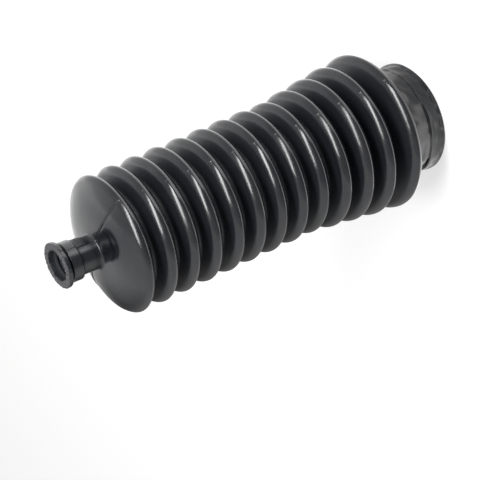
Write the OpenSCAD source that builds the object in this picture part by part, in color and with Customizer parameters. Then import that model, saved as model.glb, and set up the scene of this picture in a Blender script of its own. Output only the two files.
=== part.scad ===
// Steering rack boot: a thin rubber bellows moulded in one piece.
// It stands on the mouth of its wide cuff, with its axis along Z and the neck at the top.

/* [Bellows] */
// Number of folds
folds = 13; // [8:1:16]
// Distance from one crest to the next along the axis
crest_pitch = 11.5; // [10.5:0.1:14]
// Outer diameter of the even folds
crest_d = 62.4; // [56:0.1:70]
// Depth of the even folds, from crest to valley
fold_depth = 8; // [7:0.1:10]
// Rounding of the edge of a crest, on the outside
crest_round = 1.3; // [0.9:0.1:1.6]
// Rounding of the shoulders that lead from that edge down both flanks of a fold
shoulder_round = 5; // [4.4:0.1:5.6]
// Rounding of a valley, on the outside
valley_round = 1.5; // [1.2:0.1:2]
// Wall thickness of the folds
wall = 1.6; // [1.2:0.1:2]
// Number of folds next to the cuff that widen step by step
wide_folds = 4; // [2:1:6]
// Outer diameter of the widest fold, beside the cuff
wide_d = 74.6; // [68:0.1:80]
// Extra distance between the last two crests
last_step = 2.1; // [0:0.1:4]

/* [Neck] */
// Bore that grips the tie rod
neck_bore_d = 11.6; // [9:0.1:13]
// Outer diameter of the plain part of the neck
neck_d = 15.2; // [14.4:0.1:17]
// Outer diameter of the raised band around the neck
band_d = 17.9; // [16.5:0.1:19]
// Width of the raised band
band_w = 5.2; // [4:0.1:7]
// Outer diameter of the end flange
flange_d = 20.5; // [19.4:0.1:23]
// Thickness of the end flange
flange_t = 2.2; // [1.8:0.1:3]
// Height of the neck above the end face of the bellows
neck_h = 17.9; // [15:0.1:22]
// Number of sealing lips in the upper part of the bore
lips = 3; // [1:1:3]
// Height of a sealing lip above the grooves beside it
lip_h = 0.5; // [0.4:0.1:0.6]

/* [Cuff] */
// Bore that fits over the end of the rack housing
cuff_bore_d = 47; // [44:0.1:48]
// Outer diameter of the end band
cuff_d = 52; // [51:0.1:54]
// Outer diameter of the seat between the end band and the folds
seat_d = 50.4; // [49.6:0.1:50.8]
// Width of the end band
end_band_w = 7.8; // [6:0.1:9]
// Height of the cuff, from its mouth to the first fold
cuff_h = 19.6; // [17:0.1:21]

/* [Hidden] */

$fn = 120;

// Angle between two points of an arc, and their greatest distance
arc_step = 15;
arc_chord = 3;
// The shoulders of a fold are centred a little beyond its crest, so that they meet at an edge
shoulder_shift = 1.6;
// Least rounding inside a crest
inner_round = 0.6;
// Keeps a short straight between two arcs that only touch
slack = 0.02;
// Heights that follow from the cuff, counted from its mouth
last_crest_rise = 4.75;
last_crest_z = cuff_h + last_crest_rise;
first_crest_z = last_crest_z + (folds - 1) * crest_pitch + last_step;
// How much further out the valley next to the widest fold would be, at a full widening
valley_widening = 2;
// The end face of the bellows is a dome that runs into the upper shoulder of the first fold.
// It is level at this radius, just beyond the neck.
face_r = 7.8;
face_round = 41;
face_centre_z = first_crest_z - shoulder_shift
    - sqrt(pow(face_round - shoulder_round + slack, 2) - pow(shoulder_r(1) - face_r, 2));
// It meets the neck in a small hollow
root_rise = 0.3;
root_z = face_centre_z + face_round + root_rise;
root_round = 1.2;
top_z = root_z + neck_h;
// Rounding of the small edges, of the foot of each small step and of the foot of the seat
edge = 0.6;
step_round = 0.4;
seat_round = 1.6;
// Groove between the flange and the band
gap_w = 1;
gap_depth = 0.8;
gap_d = band_d - 2 * gap_depth;
band_top_z = top_z - flange_t - gap_w;
// Sealing lips in the neck, counted down from its recessed mouth
lip_pitch = 1.9;
lip_round = 0.5;
groove_round = 0.45;
mouth_recess = 1.1;
// Least wall between the recess and the groove outside it
mouth_wall = 0.8;
mouth_d = min(neck_bore_d + 2 * mouth_recess, gap_d - 2 * mouth_wall);
recess_depth = 2.95;
top_lip_depth = 3.6;
top_lip_z = top_z - top_lip_depth;
plain_z = top_lip_z - lips * lip_pitch;
// The end band narrows a little towards the bead round its mouth
band_taper = 0.35;
bead_w = 1.5;
bead_h = 0.35;
bead_d = cuff_d + 2 * bead_h;
bead_round = 0.7;
// Slope that leads from the seat up to the end band
seat_rise = 0.8;
// How far below the first fold the bore of the cuff ends
bore_drop = 0.5;

// A profile is a chain of arcs joined by straight lines that touch both of them.
// An arc is [radius from the axis, height, rounding, bend]. The bend is 1 where the
// rubber bulges outwards and -1 where it is hollowed, going down the outside.
function crest(r, z, round) = [r - round, z, round, 1];
function valley(r, z, round) = [r + round, z, round, -1];

// Direction in which the line between two arcs faces
function facing(a, b) =
    let (dr = b[0] - a[0], dz = b[1] - a[1])
    atan2(dz, dr) + acos((a[3] * a[2] - b[3] * b[2]) / norm([dr, dz]));

// Turn from one facing to the next, in the sense of the bend
function turn(from, to, bend) =
    let (t = (to - from) % 360)
    bend > 0 ? (t > 0.001 ? t - 360 : t) : (t < -0.001 ? t + 360 : t);

function arc_points(a, from, to) =
    let (sweep = turn(from, to, a[3]), length = a[2] * abs(sweep) * PI / 180)
    let (n = max(1, ceil(abs(sweep) / arc_step), ceil(length / arc_chord)))
    [for (k = [0 : n])
        let (face = from + sweep * k / n)
        [a[0] + a[3] * a[2] * cos(face), a[1] + a[3] * a[2] * sin(face)]];

// Closed outline through a ring of arcs
function outline(arcs) =
    let (n = len(arcs))
    [for (i = [0 : n - 1])
        let (before = arcs[(i + n - 1) % n], after = arcs[(i + 1) % n])
        each arc_points(arcs[i], facing(before, arcs[i]), facing(arcs[i], after))];

// How far a fold has widened: 0 on the even folds and 1 beside the cuff
function widening(i) = max(0, i - (folds - wide_folds)) / wide_folds;

function crest_z(i) =
    first_crest_z - (i - 1) * crest_pitch - (i == folds ? last_step : 0);
function crest_r(i) = crest_d / 2 + widening(i) * (wide_d - crest_d) / 2;
function valley_z(i) = (crest_z(i) + crest_z(i + 1)) / 2;
function valley_r(i) = crest_d / 2 - fold_depth + widening(i) * valley_widening;

// How far the centre of a crest's edge lies outside the centres of its shoulders
function reach(edge_round, inset) =
    sqrt(pow(shoulder_round - inset - edge_round + slack, 2) - pow(shoulder_shift, 2));
function shoulder_r(i) = crest_r(i) - crest_round - reach(crest_round, 0);

// A crest is an edge between two shoulders. An inset as thick as the wall gives its inside.
function crest_arcs(i, inset) =
    let (edge_round = max(crest_round - inset, inner_round))
    [for (side = [-1, 0, 1])
        side == 0
            ? [shoulder_r(i) + reach(edge_round, inset), crest_z(i), edge_round, 1]
            : [shoulder_r(i), crest_z(i) + side * shoulder_shift, shoulder_round - inset, 1]];
function valley_arc(i, inset) =
    [valley_r(i) + valley_round, valley_z(i), valley_round + inset, -1];

// The folds from top to bottom
function fold_arcs(inset) =
    [for (i = [1 : folds])
        each concat(crest_arcs(i, inset), i < folds ? [valley_arc(i, inset)] : [])];

function flipped(arcs) =
    [for (i = [len(arcs) - 1 : -1 : 0])
        [arcs[i][0], arcs[i][1], arcs[i][2], -arcs[i][3]]];

function neck_outside() = [
    crest(flange_d / 2, top_z - edge, edge),
    crest(flange_d / 2, top_z - flange_t + edge, edge),
    valley(gap_d / 2, top_z - flange_t - gap_w / 2, step_round),
    crest(band_d / 2, band_top_z - edge, edge),
    crest(band_d / 2, band_top_z - band_w + edge, edge),
    valley(neck_d / 2, band_top_z - band_w - step_round, step_round),
    valley(neck_d / 2, root_z + root_round, root_round),
    [face_r, face_centre_z, face_round, 1]
];

function cuff_outside() = [
    valley(seat_d / 2, cuff_h - seat_round, seat_round),
    valley(seat_d / 2, end_band_w + seat_rise, step_round),
    crest(cuff_d / 2, end_band_w - edge, edge),
    valley(cuff_d / 2 - band_taper, bead_w + 2 * step_round, step_round),
    crest(bead_d / 2, bead_round, bead_round)
];

// The inside runs back up, where a bend of 1 still means rubber that bulges
function cuff_inside() = [
    [cuff_bore_d / 2 + edge, edge, edge, 1],
    [cuff_bore_d / 2 + seat_round, cuff_h - bore_drop, seat_round, 1]
];

function neck_inside() = [
    [face_r, face_centre_z, face_round - wall, -1],
    [neck_bore_d / 2 + edge, root_z - wall + edge, edge, 1],
    [neck_bore_d / 2 + lip_round, plain_z - lip_round, lip_round, 1]
];

function lip_arcs() =
    [for (k = [lips - 1 : -1 : 0], part = ["groove", "lip"])
        let (z = top_lip_z - k * lip_pitch)
        part == "groove"
            ? [neck_bore_d / 2 + lip_h - groove_round, z - lip_pitch / 2, groove_round, -1]
            : [neck_bore_d / 2 + lip_round, z, lip_round, 1]];

function mouth() = [
    [mouth_d / 2 - groove_round, top_z - recess_depth + groove_round, groove_round, -1],
    [mouth_d / 2 + edge, top_z - edge, edge, 1]
];

module boot() {
    color([0.07, 0.07, 0.075])
        rotate_extrude()
            polygon(outline(concat(
                neck_outside(), fold_arcs(0), cuff_outside(),
                cuff_inside(), flipped(fold_arcs(wall)),
                neck_inside(), lip_arcs(), mouth())));
}

boot();
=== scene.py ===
# Steering rack boot: one moulded rubber bellows, standing on the mouth of its wide cuff.
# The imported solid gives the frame, and the bellows is modelled here with the marks of its mould.
import math

import bmesh
import bpy
from mathutils import Matrix, Quaternion, Vector, noise


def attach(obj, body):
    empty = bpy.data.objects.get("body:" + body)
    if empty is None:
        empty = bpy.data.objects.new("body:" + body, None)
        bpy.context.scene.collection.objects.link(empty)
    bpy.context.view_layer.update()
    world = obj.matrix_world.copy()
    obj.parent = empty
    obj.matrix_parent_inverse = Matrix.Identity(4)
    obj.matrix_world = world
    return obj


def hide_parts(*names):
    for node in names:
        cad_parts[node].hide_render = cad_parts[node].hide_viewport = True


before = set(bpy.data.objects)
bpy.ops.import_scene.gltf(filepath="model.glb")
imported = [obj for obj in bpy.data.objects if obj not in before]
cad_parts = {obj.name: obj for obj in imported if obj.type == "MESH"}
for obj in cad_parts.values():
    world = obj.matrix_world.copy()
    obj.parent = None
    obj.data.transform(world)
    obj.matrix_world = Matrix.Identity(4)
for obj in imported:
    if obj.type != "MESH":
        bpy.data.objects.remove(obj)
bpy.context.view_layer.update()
mm = 0.001
print("frame: loaded")


# sRGB hex to the linear colour that a shader takes
def linearColour(hexCode):
    channels = [int(hexCode[i:i + 2], 16) / 255 for i in (1, 3, 5)]
    return [c / 12.92 if c <= 0.04045 else ((c + 0.055) / 1.055) ** 2.4 for c in channels] + [1.0]


# Adds one node with its links, its unlinked values and its settings. Sockets go by name or number:
# a Mix node has its factor at 0, numbers at 2 and 3, and colours at 6 and 7.
def addNode(tree, kind, links=None, values=None, **settings):
    node = tree.nodes.new(kind)
    for name, value in settings.items():
        setattr(node, name, value)
    for socket, value in (values or {}).items():
        node.inputs[socket].default_value = value
    for socket, source in (links or {}).items():
        tree.links.new(source, node.inputs[socket])
    return node


def newMaterial(name):
    material = bpy.data.materials.new(name)
    material.use_nodes = True
    material.node_tree.nodes.clear()
    return material


# Direction with an azimuth and an elevation in degrees
def direction(azimuth, elevation):
    a, e = math.radians(azimuth), math.radians(elevation)
    return Vector((math.cos(a) * math.cos(e), math.sin(a) * math.cos(e), math.sin(e)))


# Soft step from 0 at the start to 1 at the end
def ramp(value, start, end):
    t = max(0, min(1, (value - start) / (end - start)))
    return t * t * (3 - 2 * t)


# The section of the boot in mm, with the same values as the solid's
sizes = {
    "folds": 13,
    "crestPitch": 11.5,        # from crest to crest along the axis
    "crestRadius": 31.2,       # even folds
    "foldDepth": 8.0,
    "crestRound": 1.3,         # the edge of a crest, between two wider shoulders
    "shoulderRound": 5.0,
    "shoulderShift": 1.6,      # how far beyond the crest a shoulder is centred
    "innerRound": 0.6,
    "slack": 0.02,             # short straight between two arcs that only touch
    "valleyRound": 1.5,
    "wall": 1.6,
    "wideFolds": 4,            # folds beside the cuff that widen step by step
    "wideRadius": 37.3,
    "valleyWidening": 2.0,
    "lastStep": 2.1,           # extra pitch beside the widest fold
    "faceRadius": 7.8,         # where the domed end face is level
    "faceRound": 41.0,
    "rootRise": 0.3,           # small hollow where the neck leaves the face
    "rootRound": 1.2,
    "neckHeight": 17.9,
    "neckBore": 5.8,
    "neckRadius": 7.6,
    "bandRadius": 8.95,        # raised band around the neck
    "bandWidth": 5.2,
    "gapWidth": 1.0,           # groove between the band and the flange
    "gapDepth": 0.8,
    "flangeRadius": 10.25,
    "flangeThick": 2.2,
    "mouthRecess": 1.1,        # wider mouth of the neck's bore
    "recessDepth": 2.95,
    "lips": 3,                 # sealing lips inside the neck
    "lipPitch": 1.9,
    "lipHeight": 0.5,
    "lipRound": 0.5,
    "grooveRound": 0.45,
    "topLipDepth": 3.6,
    "cuffHeight": 19.6,
    "lastCrestRise": 4.75,
    "cuffBore": 23.5,
    "seatRadius": 25.2,        # between the end band and the folds
    "seatRise": 0.8,
    "seatRound": 1.6,
    "boreDrop": 0.5,
    "cuffRadius": 26.0,
    "endBand": 7.8,
    "bandTaper": 0.35,
    "beadWidth": 1.5,          # bead round the cuff's mouth
    "beadHeight": 0.35,
    "beadRound": 0.7,
    "edge": 0.6,
    "stepRound": 0.4,
    "outsideEdges": (4, 5, 8),  # edges that round off a fold's shoulder, crest and valley
    "insideEdges": (2, 2, 5),
}


# How far the centre of a crest's edge lies outside the centres of its shoulders
def reach(edgeRound, inset):
    overlap = sizes["shoulderRound"] - inset - edgeRound + sizes["slack"]
    return math.sqrt(overlap ** 2 - sizes["shoulderShift"] ** 2)


lastCrestZ = sizes["cuffHeight"] + sizes["lastCrestRise"]
firstCrestZ = lastCrestZ + (sizes["folds"] - 1) * sizes["crestPitch"] + sizes["lastStep"]
shoulderDepth = sizes["crestRound"] + reach(sizes["crestRound"], 0)
faceOverlap = sizes["faceRound"] - sizes["shoulderRound"] + sizes["slack"]
faceReach = sizes["crestRadius"] - shoulderDepth - sizes["faceRadius"]
faceCentreZ = firstCrestZ - sizes["shoulderShift"] - math.sqrt(faceOverlap ** 2 - faceReach ** 2)
faceZ = faceCentreZ + sizes["faceRound"]
rootZ = faceZ + sizes["rootRise"]
topZ = rootZ + sizes["neckHeight"]
bandTopZ = topZ - sizes["flangeThick"] - sizes["gapWidth"]
bandFootZ = bandTopZ - sizes["bandWidth"]
topLipZ = topZ - sizes["topLipDepth"]
plainZ = topLipZ - sizes["lips"] * sizes["lipPitch"]


# How far a fold has widened: 0 on the even folds and 1 beside the cuff
def widening(i):
    return max(0, i - (sizes["folds"] - sizes["wideFolds"])) / sizes["wideFolds"]


def crestZ(i):
    return firstCrestZ - (i - 1) * sizes["crestPitch"] - (sizes["lastStep"] if i == sizes["folds"] else 0)


def crestRadius(i):
    return sizes["crestRadius"] + widening(i) * (sizes["wideRadius"] - sizes["crestRadius"])


def valleyRadius(i):
    return sizes["crestRadius"] - sizes["foldDepth"] + widening(i) * sizes["valleyWidening"]


# A corner of the section is an arc: centre radius, centre height, rounding, a bend of 1 where the
# rubber bulges on the way down the outside, or -1 where it is hollowed, and the number of edges
# that round it off.
def bulge(radius, z, rounding, edges):
    return (radius - rounding, z, rounding, 1, edges)


def hollow(radius, z, rounding, edges):
    return (radius + rounding, z, rounding, -1, edges)


# The folds from top to bottom. An inset as thick as the wall gives their inside. A crest is a
# tight edge between two wide shoulders.
def foldArcs(inset, edges):
    shoulderEdges, crestEdges, valleyEdges = edges
    edgeRound = max(sizes["crestRound"] - inset, sizes["innerRound"])
    shoulderRound = sizes["shoulderRound"] - inset
    valleyRound = sizes["valleyRound"] + inset
    shift = sizes["shoulderShift"]
    arcs = []
    for i in range(1, sizes["folds"] + 1):
        centre, z = crestRadius(i) - shoulderDepth, crestZ(i)
        arcs.append((centre, z - shift, shoulderRound, 1, shoulderEdges))
        arcs.append((centre + reach(edgeRound, inset), z, edgeRound, 1, crestEdges))
        arcs.append((centre, z + shift, shoulderRound, 1, shoulderEdges))
        if i < sizes["folds"]:
            between = (crestZ(i) + crestZ(i + 1)) / 2
            arcs.append((valleyRadius(i) + sizes["valleyRound"], between, valleyRound, -1, valleyEdges))
    return arcs


def outsideArcs():
    edge, step = sizes["edge"], sizes["stepRound"]
    neck = [
        bulge(sizes["flangeRadius"], topZ - edge, edge, 4),
        bulge(sizes["flangeRadius"], topZ - sizes["flangeThick"] + edge, edge, 4),
        hollow(sizes["bandRadius"] - sizes["gapDepth"], bandTopZ + sizes["gapWidth"] / 2, step, 4),
        bulge(sizes["bandRadius"], bandTopZ - edge, edge, 4),
        bulge(sizes["bandRadius"], bandFootZ + edge, edge, 4),
        hollow(sizes["neckRadius"], bandFootZ - step, step, 3),
        hollow(sizes["neckRadius"], rootZ + sizes["rootRound"], sizes["rootRound"], 4),
        (sizes["faceRadius"], faceCentreZ, sizes["faceRound"], 1, 9),
    ]
    cuff = [
        hollow(sizes["seatRadius"], sizes["cuffHeight"] - sizes["seatRound"], sizes["seatRound"], 4),
        hollow(sizes["seatRadius"], sizes["endBand"] + sizes["seatRise"], step, 2),
        bulge(sizes["cuffRadius"], sizes["endBand"] - edge, edge, 4),
        hollow(sizes["cuffRadius"] - sizes["bandTaper"], sizes["beadWidth"] + 2 * step, step, 2),
        bulge(sizes["cuffRadius"] + sizes["beadHeight"], sizes["beadRound"], sizes["beadRound"], 6),
    ]
    return neck + foldArcs(0, sizes["outsideEdges"]) + cuff


# Back up the inside, where a bulge of the folds becomes a hollow
def insideArcs():
    edge, wall, bore = sizes["edge"], sizes["wall"], sizes["neckBore"]
    lipRound, grooveRound = sizes["lipRound"], sizes["grooveRound"]
    cuffTopZ = sizes["cuffHeight"] - sizes["boreDrop"]
    cuff = [
        (sizes["cuffBore"] + edge, edge, edge, 1, 3),
        (sizes["cuffBore"] + sizes["seatRound"], cuffTopZ, sizes["seatRound"], 1, 3),
    ]
    downwards = foldArcs(wall, sizes["insideEdges"])
    folds = [(r, z, rounding, -bend, edges) for r, z, rounding, bend, edges in reversed(downwards)]
    neck = [
        (sizes["faceRadius"], faceCentreZ, sizes["faceRound"] - wall, -1, 5),
        (bore + edge, rootZ - wall + edge, edge, 1, 3),
        (bore + lipRound, plainZ - lipRound, lipRound, 1, 2),
    ]
    for k in reversed(range(sizes["lips"])):
        z = topLipZ - k * sizes["lipPitch"]
        neck.append((bore + sizes["lipHeight"] - grooveRound, z - sizes["lipPitch"] / 2, grooveRound, -1, 4))
        neck.append((bore + lipRound, z, lipRound, 1, 4))
    mouth = bore + sizes["mouthRecess"]
    neck.append((mouth - grooveRound, topZ - sizes["recessDepth"] + grooveRound, grooveRound, -1, 4))
    neck.append((mouth + edge, topZ - edge, edge, 1, 4))
    return cuff + folds + neck


# Direction that the straight between two arcs faces
def facing(a, b):
    dr, dz = b[0] - a[0], b[1] - a[1]
    return math.atan2(dz, dr) + math.acos((a[3] * a[2] - b[3] * b[2]) / math.hypot(dr, dz))


# How the mould and the rubber's softness show on the outside, in mm
mouldMarks = {
    "markStep": 1.1,                # longest edge of the section on neck and cuff
    "partingRows": (0.55, 0.35),    # degrees between the rows beside the parting line, nearest last
    "halfRows": 71,                 # rows of faces across each half of the mould
    "merge": 0.002,                 # points closer than this become one
    "finHeight": 0.028,             # flash left along the parting line
    "finUneven": (0.6, 1.2),        # its height is this plus noise times that
    "finOnFace": 0.25,              # how much of it stands on the end face and the neck
    "finWidth": 0.3,
    "finLength": 1.6,               # along the line, from a high place to a low one
    "seamDepth": (0.016, 0.2),      # groove beside it, on the folds and on the face and neck
    "seamPlace": -0.34,             # along X
    "seamWidth": 0.2,
    "mismatch": (0.012, 0.12),      # one half stands proud of the other, on the same two places
    "mismatchAngle": 0.4,           # degrees
    "mismatchFade": 6.0,
    "faceFrom": (1, 4),             # above the first crest, where the marks of the face come in
    "waveHeight": 0.16,             # unevenness of the soft folds
    "waveLength": 21.0,
    "dentDepth": (0.8, 0.75),       # dents of the thin cuff, wide ones and small ones
    "dentLength": (15.0, 5.5),
    "dentSquash": 1.5,              # how much shorter they are along the axis
    "dentFade": 3.0,                # below the folds, where they come in
    "cuffCalm": 0.7,                # share of the other marks that the cuff lacks
    "crestWander": 0.22,            # how far a crest wanders along the axis
    "wanderLength": (40, 40, 9),    # along X, Y and the axis
    "wanderFade": (4.0, 2.0, 8.0),  # above the cuff, and from and to below the top of the face
    "endFade": (3, 1.5),            # from the cuff's mouth and the neck's, where the marks come in
    "neckBend": 0.93,               # the neck's end leans sideways
    "cuffBend": -1.15,
    "bendTo": (0.768, -0.640),      # direction of that lean
    "scarHeight": 0.5,              # rough raised patch on one side of the neck
    "scarAngles": (-90.0, -16.0),   # degrees round the axis
    "scarFade": (0.4, 7.0),         # degrees, at its first side and its second
    "scarInset": (4.2, 0.7),        # from the root, and from the band
    "scarSlope": 0.8,
    "scarRough": 0.25,
    "scarGrain": 1.3,               # bumps to a mm
    "trimRough": 0.4,               # unevenness of the trimmed mouth of the neck
    "trimGrain": 0.9,               # bumps to a mm
    # the valleys' dullness also leaves the paler film off their colour, a painted shade, and so does the
    # neck's share
    "polished": (0.8, 4.5),         # below a crest, where its polish ends and the valley's dullness is full
    "neckDullAndShade": 0.3,                # share of that dullness on the neck
}


# The closed section as a wire in the XZ plane: each corner is one vertex spun about its centre.
# Straights on the outside of neck and cuff are divided, so that they can carry marks.
def drawSection(bm, skin):
    outside, inside = outsideArcs(), insideArcs()
    arcs = outside + inside
    fullTurn, noTurn = 2 * math.pi, 1e-6
    markStep = mouldMarks["markStep"] * mm
    first = last = None
    for i, arc in enumerate(arcs):
        radius, z, rounding, bend, edges = arc
        start, end = facing(arcs[i - 1], arc), facing(arc, arcs[(i + 1) % len(arcs)])
        turn = (end - start) % fullTurn
        if bend > 0 and turn > noTurn:
            turn -= fullTurn
        centre = Vector((radius, 0, z)) * mm
        outward = Vector((math.cos(start), 0, math.sin(start)))
        before = set(bm.verts)
        vert = bm.verts.new(centre + bend * rounding * mm * outward)
        if last:
            gap = vert.co - last.co
            marked = i < len(outside) and not sizes["cuffHeight"] * mm < vert.co.z < firstCrestZ * mm
            parts = max(1, round(gap.length / markStep)) if marked else 1
            for k in range(1, parts):
                step = bm.verts.new(vert.co - gap * (1 - k / parts))
                bm.edges.new((last, step))
                last = step
            bm.edges.new((last, vert))
        spun = bmesh.ops.spin(bm, geom=[vert], cent=centre, axis=(0, -1, 0), angle=turn, steps=edges,
                              use_merge=False)
        last = [e for e in spun["geom_last"] if isinstance(e, bmesh.types.BMVert)][0]
        first = first or vert
        for v in bm.verts:
            if v not in before:
                v[skin] = 1.0 if i < len(outside) else 0.0
    bm.edges.new((last, first))


# Sideways place of the section's centre at a height
def lean(z):
    m = mouldMarks
    if z > firstCrestZ:
        return m["neckBend"] * (z - firstCrestZ) / (topZ - firstCrestZ)
    return m["cuffBend"] * max(0, lastCrestZ - z) / lastCrestZ


# How far a point lies on the raised patch of the neck, from 0 to 1
def scar(x, y, z):
    m = mouldMarks
    if not rootZ < z < bandFootZ:
        return 0
    angle = math.degrees(math.atan2(y, x))
    start, end = m["scarAngles"]
    firstFade, secondFade = m["scarFade"]
    around = ramp(angle, start, start + firstFade) * ramp(-angle, -end, secondFade - end)
    low, high = rootZ + m["scarInset"][0], bandFootZ - m["scarInset"][1]
    return around * ramp(z, low, low + m["scarSlope"]) * ramp(-z, -high, m["scarSlope"] - high)


# What the mould's two halves leave along the parting plane, where x is 0
def seamLift(x, y, z):
    m = mouldMarks
    start, end = m["faceFrom"]
    onFolds = 1 - ramp(z, firstCrestZ + start, firstCrestZ + end)
    small, large = m["mismatch"]
    half = max(-1, min(1, math.degrees(math.atan2(x, abs(y))) / m["mismatchAngle"]))
    lift = (small * onFolds + large * (1 - onFolds)) * half * math.exp(-abs(x) / m["mismatchFade"])
    least, swing = m["finUneven"]
    uneven = least + swing * noise.noise(Vector((0, y, z)) / m["finLength"])
    share = m["finOnFace"] + (1 - m["finOnFace"]) * onFolds
    lift += m["finHeight"] * uneven * share * math.exp(-(x / m["finWidth"]) ** 2)
    shallow, deep = m["seamDepth"]
    depth = shallow * onFolds + deep * (1 - onFolds)
    return lift - depth * math.exp(-((x - m["seamPlace"]) / m["seamWidth"]) ** 2)


# How dull a point of the outside is, and how much painted shade darkens its colour, from 0 on crests, face
# and cuff to 1 deep in a valley
def dullnessAndPaintedShade(radius, z):
    if z > rootZ:
        return mouldMarks["neckDullAndShade"]
    if not lastCrestZ < z < firstCrestZ:
        return 0
    fold = 1 + (firstCrestZ - z) / sizes["crestPitch"]
    start, end = mouldMarks["polished"]
    return ramp(crestRadius(fold) - radius, start, end)


# Lift of the outside along its normal: waves and seam everywhere, and dents on the cuff
def skinLift(x, y, z):
    m = mouldMarks
    lift = seamLift(x, y, z) + m["waveHeight"] * noise.noise(Vector((x, y, z)) / m["waveLength"])
    onCuff = ramp(sizes["cuffHeight"] - z, 0, m["dentFade"])
    lift *= 1 - m["cuffCalm"] * onCuff
    for depth, length in zip(m["dentDepth"], m["dentLength"]):
        lift += onCuff * depth * noise.noise(Vector((x, y, z * m["dentSquash"])) / length)
    return lift


# How far the folds wander along the axis
def wander(x, y, z):
    m = mouldMarks
    rise, start, end = m["wanderFade"]
    onFolds = ramp(z - sizes["cuffHeight"], 0, rise) * ramp(faceZ - z, start, end)
    along, across, axial = m["wanderLength"]
    return onFolds * m["crestWander"] * noise.noise(Vector((x / along, y / across, z / axial)))


# Marks and bends the smooth boot, and writes down what its rubber has to show
def markSkin(bm, skin, scuff, valley):
    m = mouldMarks
    bm.normal_update()
    moves = []
    for v in bm.verts:
        x, y, z = v.co / mm
        move = Vector((0, 0, 0))
        v[valley] = 1
        if v[skin] > 0.5:
            v[scuff] = scar(x, y, z)
            # dullness, which also darkens the colour of valleys and neck as a painted shade
            v[valley] = dullnessAndPaintedShade(math.hypot(x, y), z)
            rough = m["scarRough"] * noise.noise(Vector((x, y, z)) * m["scarGrain"])
            lift = skinLift(x, y, z) + v[scuff] * (m["scarHeight"] + rough)
            fade = min(1, z / m["endFade"][0], (topZ - z) / m["endFade"][1])
            move = v.normal * lift * fade + Vector((0, 0, wander(x, y, z)))
        if z > topZ - 2 * sizes["edge"]:
            move += v.normal * m["trimRough"] * noise.noise(Vector((x, y, z)) * m["trimGrain"])
        side = lean(z)
        move += Vector((m["bendTo"][0] * side, m["bendTo"][1] * side, 0))
        moves.append(move * mm)
    for v, move in zip(bm.verts, moves):
        v.co += move


# A spin makes its parts in an order that changes from run to run, so they get one by their place
def sortParts(bm):
    ranks = {v: i for i, v in enumerate(sorted(bm.verts, key=lambda v: v.co[:]))}
    bm.verts.sort(key=ranks.get)
    for parts in (bm.edges, bm.faces):
        order = sorted(parts, key=lambda part: sorted(ranks[v] for v in part.verts))
        places = {part: i for i, part in enumerate(order)}
        parts.sort(key=places.get)


# The section spun about Z from the parting plane, with its rows closest beside that plane
def makeBoot():
    bm = bmesh.new()
    skin, scuff, valley = [bm.verts.layers.float.new(name) for name in ("skin", "scuff", "valley")]
    drawSection(bm, skin)
    print("section:", len(bm.verts), "points")
    wide, close = mouldMarks["partingRows"]
    across = 180 - 2 * (wide + close)
    half = [(close, 1), (wide, 1), (across, mouldMarks["halfRows"]), (wide, 1), (close, 1)]
    bmesh.ops.rotate(bm, verts=bm.verts, cent=(0, 0, 0), matrix=Matrix.Rotation(math.pi / 2, 3, "Z"))
    row = bm.verts[:] + bm.edges[:]
    for angle, steps in half * 2:
        spun = bmesh.ops.spin(bm, geom=row, cent=(0, 0, 0), axis=(0, 0, 1), angle=math.radians(angle),
                              steps=steps, use_merge=False)
        row = spun["geom_last"]
    bmesh.ops.remove_doubles(bm, verts=bm.verts, dist=mouldMarks["merge"] * mm)
    bmesh.ops.recalc_face_normals(bm, faces=bm.faces)
    markSkin(bm, skin, scuff, valley)
    sortParts(bm)
    for f in bm.faces:
        f.smooth = True
    mesh = bpy.data.meshes.new("boot_rubber")
    bm.to_mesh(mesh)
    bm.free()
    boot = bpy.data.objects.new("boot_rubber", mesh)
    bpy.context.scene.collection.objects.link(boot)
    print("boot:", len(mesh.polygons), "faces")
    return boot


# Black rubber, compression moulded: deep black with a soft satin gloss, from the mould's turned
# and polished steel. The eye sees faint rings, a slightly uneven skin, a thin paler film that is
# wiped off in places, dull valleys that nothing has rubbed, with a painted shade that leaves the
# film off them and partly off the neck, and a dull, paler, knife-trimmed end.
rubberLook = {
    "black": "#0e1117",
    "bloom": "#1e1e20",           # paler film on the surface
    "trimmed": "#464447",
    "ior": 1.5,
    "gloss": (0.15, 0.24),        # roughness of the smoothest and the roughest smudge
    "inside": 0.75,               # roughness of the inside
    "valley": 0.5,                # of the valleys
    "raw": 0.7,                   # of the trimmed end
    "smudge": 14.0,               # mm across a patch of other gloss
    "smudgeEdge": (0.35, 0.65),   # values of its noise between which the gloss changes
    "wipeGap": 1.6,               # mm between the rings that the film was wiped into
    "speck": 0.9,                 # mm, coarser than the real dust so that it shows
    "filmEdge": (1.35, 1.85),     # sums of the three noises between which the film comes in
    "ringGap": 0.9,               # mm between turning rings, drawn coarse enough to show
    "ringDepth": 0.006,           # mm
    "grain": 1.1,                 # mm, coarser than the real grain so that it shows
    "grainDepth": 0.01,           # mm
    "ripple": 5.0,                # mm, the skin's soft unevenness
    "rippleDepth": 0.05,          # mm
    "scarDull": 0.9,              # how raw the neck's raised patch is, compared with its trimmed end
    "endEdge": (0.35, 0.15),      # mm below the top, between which the trimmed end begins
    "trimGrain": 1.3,             # mm, coarser than the real tears
    "trimDepth": 0.12,            # mm
    "tornEdge": (0.42, 0.56),     # values of its noise between which the cut gets paler
    "tornPale": (0.25, 1.1),      # and how much of the trimmed colour it then has
}


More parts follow.
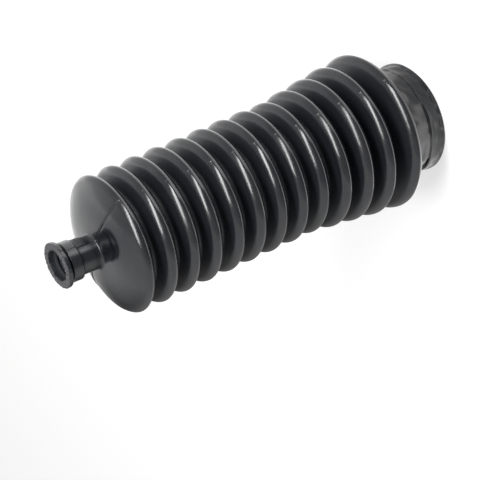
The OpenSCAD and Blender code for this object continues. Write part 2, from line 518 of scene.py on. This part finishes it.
def mouldedRubber():
    k = rubberLook
    material = newMaterial("moulded_rubber")
    tree = material.node_tree
    coords = addNode(tree, "ShaderNodeTexCoord")
    inMm = addNode(tree, "ShaderNodeVectorMath", {0: coords.outputs["Object"]}, {1: (1000, 1000, 1000)},
                   operation="MULTIPLY")
    split = addNode(tree, "ShaderNodeSeparateXYZ", {0: inMm.outputs[0]})
    flat = addNode(tree, "ShaderNodeCombineXYZ", {"X": split.outputs["X"], "Y": split.outputs["Y"]})
    radius = addNode(tree, "ShaderNodeVectorMath", {0: flat.outputs[0]}, operation="LENGTH")
    section = addNode(tree, "ShaderNodeCombineXYZ", {"X": radius.outputs["Value"], "Y": split.outputs["Z"]})
    skin = addNode(tree, "ShaderNodeAttribute", attribute_name="skin")
    scuff = addNode(tree, "ShaderNodeAttribute", attribute_name="scuff")
    valley = addNode(tree, "ShaderNodeAttribute", attribute_name="valley")
    # Smudges of other gloss, where the rubber was handled
    smudge = addNode(tree, "ShaderNodeTexNoise", {"Vector": inMm.outputs[0]},
                     {"Scale": 1 / k["smudge"], "Detail": 4.0, "Roughness": 0.55})
    gloss = addNode(tree, "ShaderNodeMapRange", {"Value": smudge.outputs["Fac"]},
                    {"From Min": k["smudgeEdge"][0], "From Max": k["smudgeEdge"][1],
                     "To Min": k["gloss"][0], "To Max": k["gloss"][1]})
    # The film is thin in smudges, wiped into rings and broken by specks, and it is left off the valleys and
    # partly off the neck as a painted shade
    wiped = addNode(tree, "ShaderNodeTexNoise", {"Vector": section.outputs[0]},
                    {"Scale": 1 / k["wipeGap"], "Detail": 3.0, "Roughness": 0.6})
    specks = addNode(tree, "ShaderNodeTexNoise", {"Vector": inMm.outputs[0]},
                     {"Scale": 1 / k["speck"], "Detail": 2.0, "Roughness": 0.7})
    patches = addNode(tree, "ShaderNodeMath", {0: smudge.outputs["Fac"], 1: wiped.outputs["Fac"]},
                      operation="ADD")
    broken = addNode(tree, "ShaderNodeMath", {0: patches.outputs[0], 1: specks.outputs["Fac"]},
                     operation="ADD")
    film = addNode(tree, "ShaderNodeMapRange", {"Value": broken.outputs[0]},
                   {"From Min": k["filmEdge"][0], "From Max": k["filmEdge"][1]})
    # 1 away from the valleys, where the paler film may show; in the valleys its absence is a painted shade
    clearOfPaintedValleyShade = addNode(tree, "ShaderNodeMath", {1: valley.outputs["Fac"]}, {0: 1.0}, operation="SUBTRACT")
    filmWithPaintedValleyShade = addNode(tree, "ShaderNodeMath", {0: film.outputs[0], 1: clearOfPaintedValleyShade.outputs[0]},
                       operation="MULTIPLY")
    # The knife-trimmed end of the neck is torn and paler, and the raised patch is nearly as raw
    end = addNode(tree, "ShaderNodeMapRange", {"Value": split.outputs["Z"]},
                  {"From Min": topZ - k["endEdge"][0], "From Max": topZ - k["endEdge"][1]})
    scarred = addNode(tree, "ShaderNodeMath", {0: scuff.outputs["Fac"]}, {1: k["scarDull"]},
                      operation="MULTIPLY")
    raw = addNode(tree, "ShaderNodeMath", {0: end.outputs[0], 1: scarred.outputs[0]}, operation="MAXIMUM")
    cut = addNode(tree, "ShaderNodeTexNoise", {"Vector": inMm.outputs[0]},
                  {"Scale": 1 / k["trimGrain"], "Detail": 3.0})
    torn = addNode(tree, "ShaderNodeMapRange", {"Value": cut.outputs["Fac"]},
                   {"From Min": k["tornEdge"][0], "From Max": k["tornEdge"][1],
                    "To Min": k["tornPale"][0], "To Max": k["tornPale"][1]})
    pale = addNode(tree, "ShaderNodeMath", {0: end.outputs[0], 1: torn.outputs[0]}, operation="MULTIPLY")
    filmed = addNode(tree, "ShaderNodeMix", {0: filmWithPaintedValleyShade.outputs[0]},
                     {6: linearColour(k["black"]), 7: linearColour(k["bloom"])}, data_type="RGBA")
    colour = addNode(tree, "ShaderNodeMix", {0: pale.outputs[0], 6: filmed.outputs[2]},
                     {7: linearColour(k["trimmed"])}, data_type="RGBA")
    unrubbed = addNode(tree, "ShaderNodeMix", {0: valley.outputs["Fac"], 2: gloss.outputs[0]},
                       {3: k["valley"]})
    sided = addNode(tree, "ShaderNodeMix", {0: skin.outputs["Fac"], 3: unrubbed.outputs[0]},
                    {2: k["inside"]})
    roughness = addNode(tree, "ShaderNodeMix", {0: raw.outputs[0], 2: sided.outputs[0]}, {3: k["raw"]})
    # Rings from turning the mould, the skin's unevenness, its grain, and the tears of the trimmed end
    rings = addNode(tree, "ShaderNodeTexNoise", {"Vector": section.outputs[0]},
                    {"Scale": 1 / k["ringGap"], "Detail": 2.0})
    ripple = addNode(tree, "ShaderNodeTexNoise", {"Vector": inMm.outputs[0]},
                     {"Scale": 1 / k["ripple"], "Detail": 1.0})
    grain = addNode(tree, "ShaderNodeTexNoise", {"Vector": inMm.outputs[0]},
                    {"Scale": 1 / k["grain"], "Detail": 3.0})
    tears = addNode(tree, "ShaderNodeMath", {0: cut.outputs["Fac"], 1: raw.outputs[0]}, operation="MULTIPLY")
    reliefs = [
        (rings.outputs["Fac"], k["ringDepth"]),
        (ripple.outputs["Fac"], k["rippleDepth"]),
        (grain.outputs["Fac"], k["grainDepth"]),
        (tears.outputs[0], k["trimDepth"]),
    ]
    below = {}
    for height, depth in reliefs:
        bump = addNode(tree, "ShaderNodeBump", {"Height": height, **below},
                       {"Strength": 1.0, "Distance": depth * mm})
        below = {"Normal": bump.outputs[0]}
    shader = addNode(tree, "ShaderNodeBsdfPrincipled",
                     {"Base Color": colour.outputs[2], "Roughness": roughness.outputs[0], **below},
                     {"IOR": k["ior"]})
    addNode(tree, "ShaderNodeOutputMaterial", {"Surface": shader.outputs[0]})
    print("rubber:", len(tree.nodes), "nodes")
    return material


boot = makeBoot()
boot.data.materials.append(mouldedRubber())
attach(boot, "root")
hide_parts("boot")


# A flat square of the stage, about the origin
def makeSquare(name, size):
    bm = bmesh.new()
    bmesh.ops.create_grid(bm, x_segments=1, y_segments=1, size=size / 2)
    mesh = bpy.data.meshes.new(name)
    bm.to_mesh(mesh)
    bm.free()
    square = bpy.data.objects.new(name, mesh)
    bpy.context.scene.collection.objects.link(square)
    return square


# 1 where a ray comes from the camera, a reflection or clear stuff
def seenDirectly(tree):
    path = addNode(tree, "ShaderNodeLightPath")
    either = addNode(tree, "ShaderNodeMath",
                     {0: path.outputs["Is Camera Ray"], 1: path.outputs["Is Glossy Ray"]},
                     operation="MAXIMUM")
    return addNode(tree, "ShaderNodeMath",
                   {0: either.outputs[0], 1: path.outputs["Is Transmission Ray"]}, operation="MAXIMUM")


# Pale floor. The boot's gloss sees only a painted reflection of it: a glow brighter than white near
# the boot, on its right and in one patch in front, a painted shade at its foot, and dim further off.
floorLook = {
    "size": 4.0,                     # m
    "paint": "#e9e9e8",
    "glow": 0.66,                    # share of the floor's white that no shadow dims
    "lit": 0.5,                      # and the share that the lamps light
    "far": 0.45,                     # brightness in the gloss: far off,
    "near": 3.2,                     # near the boot,
    "right": 2.5,                    # on its right,
    "patch": 4.2,                    # and in the patch
    "nearFade": (60, 125),           # mm from the boot's axis
    "rightFade": (10, 75),           # mm along X
    "patchAt": -82,                  # azimuth
    "patchEdge": (0.93, 0.985),      # cosines of the angles across which it fades
    "patchFade": (90, 150),          # mm from the boot's axis
    "footShade": (0.15, 0.35),       # how bright the shaded foot is, in front and beside
    "footFade": ((34, 60), (29, 42)),  # mm from the boot's axis, in front and beside
    "besideFade": (-42, -18),        # mm along Y, from in front of the boot to beside it
}


# Painted reflection: what the gloss of the boot shows of the floor, a glow that no lamp gives, with a
# painted shade at the boot's foot
def paintedFloorReflection(tree):
    k = floorLook
    coords = addNode(tree, "ShaderNodeTexCoord")
    split = addNode(tree, "ShaderNodeSeparateXYZ", {0: coords.outputs["Object"]})
    away = addNode(tree, "ShaderNodeVectorMath", {0: coords.outputs["Object"]}, operation="LENGTH")
    outward = addNode(tree, "ShaderNodeVectorMath", {0: coords.outputs["Object"]}, operation="NORMALIZE")
    near = addNode(tree, "ShaderNodeMapRange", {"Value": away.outputs["Value"]},
                   {"From Min": k["nearFade"][0] * mm, "From Max": k["nearFade"][1] * mm,
                    "To Min": k["near"], "To Max": k["far"]}, interpolation_type="SMOOTHSTEP")
    right = addNode(tree, "ShaderNodeMapRange", {"Value": split.outputs["X"]},
                    {"From Min": k["rightFade"][0] * mm, "From Max": k["rightFade"][1] * mm,
                     "To Min": k["far"], "To Max": k["right"]}, interpolation_type="SMOOTHSTEP")
    towards = addNode(tree, "ShaderNodeVectorMath", {0: outward.outputs[0]}, {1: direction(k["patchAt"], 0)},
                      operation="DOT_PRODUCT")
    across = addNode(tree, "ShaderNodeMapRange", {"Value": towards.outputs["Value"]},
                     {"From Min": k["patchEdge"][0], "From Max": k["patchEdge"][1], "To Max": k["patch"]},
                     interpolation_type="SMOOTHSTEP")
    along = addNode(tree, "ShaderNodeMapRange", {"Value": away.outputs["Value"]},
                    {"From Min": k["patchFade"][0] * mm, "From Max": k["patchFade"][1] * mm},
                    interpolation_type="SMOOTHSTEP")
    patch = addNode(tree, "ShaderNodeMath", {0: across.outputs[0], 1: along.outputs[0]},
                    operation="MULTIPLY")
    level = addNode(tree, "ShaderNodeMath", {0: near.outputs[0], 1: right.outputs[0]}, operation="MAXIMUM")
    level = addNode(tree, "ShaderNodeMath", {0: level.outputs[0], 1: patch.outputs[0]}, operation="MAXIMUM")
    # painted shade at the boot's foot, deeper in front than beside
    foot = []
    for shade, (start, end) in zip(k["footShade"], k["footFade"]):
        foot.append(addNode(tree, "ShaderNodeMapRange", {"Value": away.outputs["Value"]},
                            {"From Min": start * mm, "From Max": end * mm, "To Min": shade},
                            interpolation_type="SMOOTHSTEP"))
    beside = addNode(tree, "ShaderNodeMapRange", {"Value": split.outputs["Y"]},
                     {"From Min": k["besideFade"][0] * mm, "From Max": k["besideFade"][1] * mm},
                     interpolation_type="SMOOTHSTEP")
    shade = addNode(tree, "ShaderNodeMix",
                    {0: beside.outputs[0], 2: foot[0].outputs[0], 3: foot[1].outputs[0]})
    shaded = addNode(tree, "ShaderNodeMath", {0: level.outputs[0], 1: shade.outputs[0]},
                     operation="MULTIPLY")
    return addNode(tree, "ShaderNodeEmission", {"Strength": shaded.outputs[0]})


# Painted board, matt and pale: the eye sees an even white with the boot's soft shadow on it. The boot's
# gloss sees the painted reflection instead.
def makeFloor():
    floor = makeSquare("floor", floorLook["size"])
    material = newMaterial("painted_floor")
    tree = material.node_tree
    direct = seenDirectly(tree)
    paint = addNode(tree, "ShaderNodeBsdfDiffuse", values={"Color": linearColour(floorLook["paint"])})
    lit = addNode(tree, "ShaderNodeBsdfDiffuse", values={"Color": [floorLook["lit"]] * 3 + [1]})
    glow = addNode(tree, "ShaderNodeEmission", values={"Strength": floorLook["glow"]})
    bright = addNode(tree, "ShaderNodeAddShader", {0: lit.outputs[0], 1: glow.outputs[0]})
    choice = addNode(tree, "ShaderNodeMixShader",
                     {0: direct.outputs[0], 1: paint.outputs[0], 2: bright.outputs[0]})
    # the painted reflection, a glow with a painted shade at the boot's foot, seen only by glossy rays
    mirrored = paintedFloorReflection(tree)
    path = addNode(tree, "ShaderNodeLightPath")
    shown = addNode(tree, "ShaderNodeMixShader",
                    {0: path.outputs["Is Glossy Ray"], 1: choice.outputs[0], 2: mirrored.outputs[0]})
    addNode(tree, "ShaderNodeOutputMaterial", {"Surface": shown.outputs[0]})
    floor.data.materials.append(material)


# White surroundings, dim behind the camera and brighter in one part. Dull surfaces get less light
# from them. A part lies at an azimuth and an elevation, its edge is given as the cosines of the
# angles across which it comes in, and its level as the brightness outside it and in its middle.
roomLook = {
    "ambient": 0.35,    # light on dull surfaces
    "dim": {"at": (-118, 5), "edge": (0.35, 0.95), "level": (1.0, 0.55)},
    "bright": {"at": (15, 22), "edge": (0.5, 0.97), "level": (0.0, 0.8)},    # added to the dim part's
}


def makeSurroundings():
    k = roomLook
    world = bpy.data.worlds.new("surroundings")
    world.use_nodes = True
    tree = world.node_tree
    tree.nodes.clear()
    direct = seenDirectly(tree)
    coords = addNode(tree, "ShaderNodeTexCoord")
    parts = []
    for part in (k["dim"], k["bright"]):
        towards = addNode(tree, "ShaderNodeVectorMath", {0: coords.outputs["Generated"]},
                          {1: direction(*part["at"])}, operation="DOT_PRODUCT")
        (start, end), (low, high) = part["edge"], part["level"]
        parts.append(addNode(tree, "ShaderNodeMapRange", {"Value": towards.outputs["Value"]},
                             {"From Min": start, "From Max": end, "To Min": low, "To Max": high},
                             interpolation_type="SMOOTHSTEP"))
    room = addNode(tree, "ShaderNodeMath", {0: parts[0].outputs[0], 1: parts[1].outputs[0]}, operation="ADD")
    strength = addNode(tree, "ShaderNodeMapRange", {"Value": direct.outputs[0], "To Max": room.outputs[0]},
                       {"To Min": k["ambient"]})
    glow = addNode(tree, "ShaderNodeBackground", {"Strength": strength.outputs[0]})
    addNode(tree, "ShaderNodeOutputWorld", {"Surface": glow.outputs[0]})
    bpy.context.scene.world = world


# A glowing sheet close behind the boot, no lamp, shows only in its gloss as a painted reflection,
# with a painted shade near the boot's axis below about 0.2 m and a left part painted dimmer
paintedReflectionSheet = {
    "facing": -72.5,             # azimuth
    "distance": 0.042,           # m behind the boot's axis
    "size": 1.2,                 # m
    "brightness": (1.35, 2.2),   # beside the boot and far off
    "brightFade": (60, 400),     # mm from the boot's axis, across which that changes
    "dimSide": (-260, -110),     # mm along the sheet, where its left part gets dimmer
    "dimLevel": 0.4,
    "shadeFade": (0, 48),        # mm from the boot's axis, across which the shade fades
    "shadeTop": (160, 215),      # mm above the floor
    "shadeLevel": 0.1,
}


# A glow that no lamp gives, seen only in the boot's gloss: a painted reflection, a soft white beside each
# fold
def makeSheet():
    k = paintedReflectionSheet
    sheet = makeSquare("painted_reflection_sheet", k["size"])
    towards = direction(k["facing"], 0)
    turn = Matrix((Vector((-towards.y, towards.x, 0)), Vector((0, 0, 1)), towards)).transposed()
    lift = Vector((0, 0, k["size"] / 2))
    sheet.matrix_world = Matrix.Translation(lift - towards * k["distance"]) @ turn.to_4x4()
    for kind in ("camera", "diffuse", "transmission", "volume_scatter", "shadow"):
        setattr(sheet, "visible_" + kind, False)
    material = newMaterial("painted_reflection_glow")
    tree = material.node_tree
    coords = addNode(tree, "ShaderNodeTexCoord")
    split = addNode(tree, "ShaderNodeSeparateXYZ", {0: coords.outputs["Object"]})
    across = addNode(tree, "ShaderNodeMath", {0: split.outputs["X"]}, operation="ABSOLUTE")
    beside = addNode(tree, "ShaderNodeMapRange", {"Value": across.outputs[0]},
                     {"From Min": k["shadeFade"][0] * mm, "From Max": k["shadeFade"][1] * mm,
                      "To Min": k["shadeLevel"]}, interpolation_type="SMOOTHSTEP")
    above = addNode(tree, "ShaderNodeMapRange", {"Value": split.outputs["Y"]},
                    {"From Min": k["shadeTop"][0] * mm - lift.z, "From Max": k["shadeTop"][1] * mm - lift.z},
                    interpolation_type="SMOOTHSTEP")
    # painted shade near the boot's axis, clear higher up
    clear = addNode(tree, "ShaderNodeMath", {0: beside.outputs[0], 1: above.outputs[0]}, operation="MAXIMUM")
    white = addNode(tree, "ShaderNodeMapRange", {"Value": across.outputs[0]},
                    {"From Min": k["brightFade"][0] * mm, "From Max": k["brightFade"][1] * mm,
                     "To Min": k["brightness"][0], "To Max": k["brightness"][1]},
                    interpolation_type="SMOOTHSTEP")
    dim = addNode(tree, "ShaderNodeMapRange", {"Value": split.outputs["X"]},
                  {"From Min": k["dimSide"][0] * mm, "From Max": k["dimSide"][1] * mm,
                   "To Min": k["dimLevel"]}, interpolation_type="SMOOTHSTEP")
    # the left part painted dimmer
    dimmed = addNode(tree, "ShaderNodeMath", {0: dim.outputs[0], 1: white.outputs[0]}, operation="MULTIPLY")
    level = addNode(tree, "ShaderNodeMath", {0: clear.outputs[0], 1: dimmed.outputs[0]},
                    operation="MULTIPLY")
    glow = addNode(tree, "ShaderNodeEmission", {"Strength": level.outputs[0]})
    addNode(tree, "ShaderNodeOutputMaterial", {"Surface": glow.outputs[0]})
    sheet.data.materials.append(material)


# A lamp stands at a direction and distance from the middle of the boot and faces it. Angles are
# in degrees and sizes in m. Brightness is how many times brighter than white its face looks in a
# mirror. The strip makes the streaks on the folds.
lamps = {
    "slanted_strip": {"azimuth": -96, "elevation": 51, "roll": -42, "distance": 0.8,
                      "width": 0.8, "height": 0.18, "brightness": 18, "inGloss": True},
    "left_panel": {"azimuth": 6, "elevation": 22, "roll": 0, "distance": 0.9,
                   "width": 0.6, "height": 0.85, "brightness": 1.8, "inGloss": False},
}


def makeLamp(name, lamp):
    light = bpy.data.lights.new(name, "AREA")
    light.shape = "RECTANGLE"
    light.size, light.size_y = lamp["width"], lamp["height"]
    light.energy = lamp["brightness"] * math.pi * lamp["width"] * lamp["height"]
    towards = direction(lamp["azimuth"], lamp["elevation"])
    roll = Quaternion((0, 0, 1), math.radians(lamp["roll"]))
    holder = bpy.data.objects.new(name, light)
    holder.location = Vector((0, 0, topZ / 2 * mm)) + towards * lamp["distance"]
    holder.rotation_euler = (towards.to_track_quat("Z", "Y") @ roll).to_euler()
    holder.visible_camera = False
    holder.visible_glossy = lamp["inGloss"]
    bpy.context.scene.collection.objects.link(holder)


# The camera looks down on the boot and is rolled, so that the neck points to the lower left
cameraSetup = {
    "place": (-0.3200, -0.5597, 0.4454),    # m
    "forward": (0.41454, 0.78293, -0.46387),
    "up": (0.71316, -0.59612, -0.36883),
    "lens": 124.4,                          # mm
    "sensor": 36,                           # mm
}


def makeCamera():
    c = cameraSetup
    camera = bpy.data.cameras.new("camera")
    camera.lens, camera.sensor_width = c["lens"], c["sensor"]
    holder = bpy.data.objects.new("camera", camera)
    back, up = -Vector(c["forward"]).normalized(), Vector(c["up"]).normalized()
    right = up.cross(back).normalized()
    turned = Matrix((right, back.cross(right), back)).transposed()
    holder.matrix_world = Matrix.Translation(Vector(c["place"])) @ turned.to_4x4()
    bpy.context.scene.collection.objects.link(holder)
    bpy.context.scene.camera = holder


makeFloor()
makeSheet()
makeSurroundings()
for name, lamp in lamps.items():
    makeLamp(name, lamp)
makeCamera()
bpy.context.scene.view_settings.view_transform = "Standard"
print("stage: floor, sheet, surroundings,", len(lamps), "lamps and camera")
